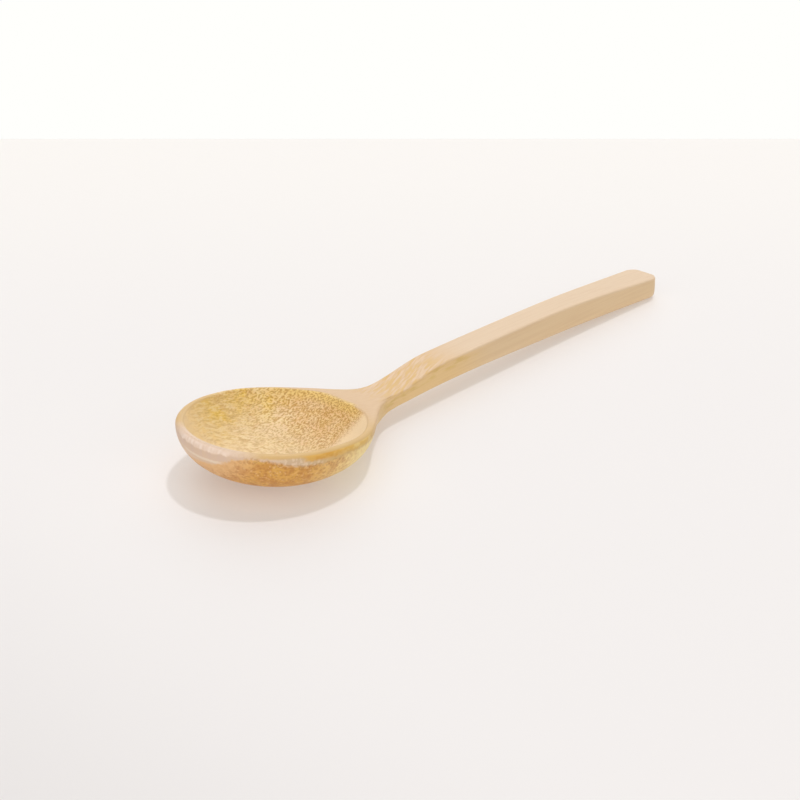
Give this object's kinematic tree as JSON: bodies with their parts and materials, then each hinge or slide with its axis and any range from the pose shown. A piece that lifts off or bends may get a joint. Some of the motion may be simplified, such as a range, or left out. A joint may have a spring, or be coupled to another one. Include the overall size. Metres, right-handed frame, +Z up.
{
  "type": "wooden spoon",
  "caption": "Small carved wooden spoon with a round hollow bowl and a slim, slightly arched handle, for taking and serving honey.",
  "frame": {"origin": "on the surface that the spoon lies on, under the middle of its length and width", "axes": "+X from the tip of the bowl to the end of the handle, +Z up out of the bowl"},
  "size_m": [0.16, 0.0414, 0.0147],
  "materials": {
    "wood": "satin, sanded and lightly oiled"
  },
  "bodies": {
    "root": {"spoon": "wood"}
  },
  "joints": []
}
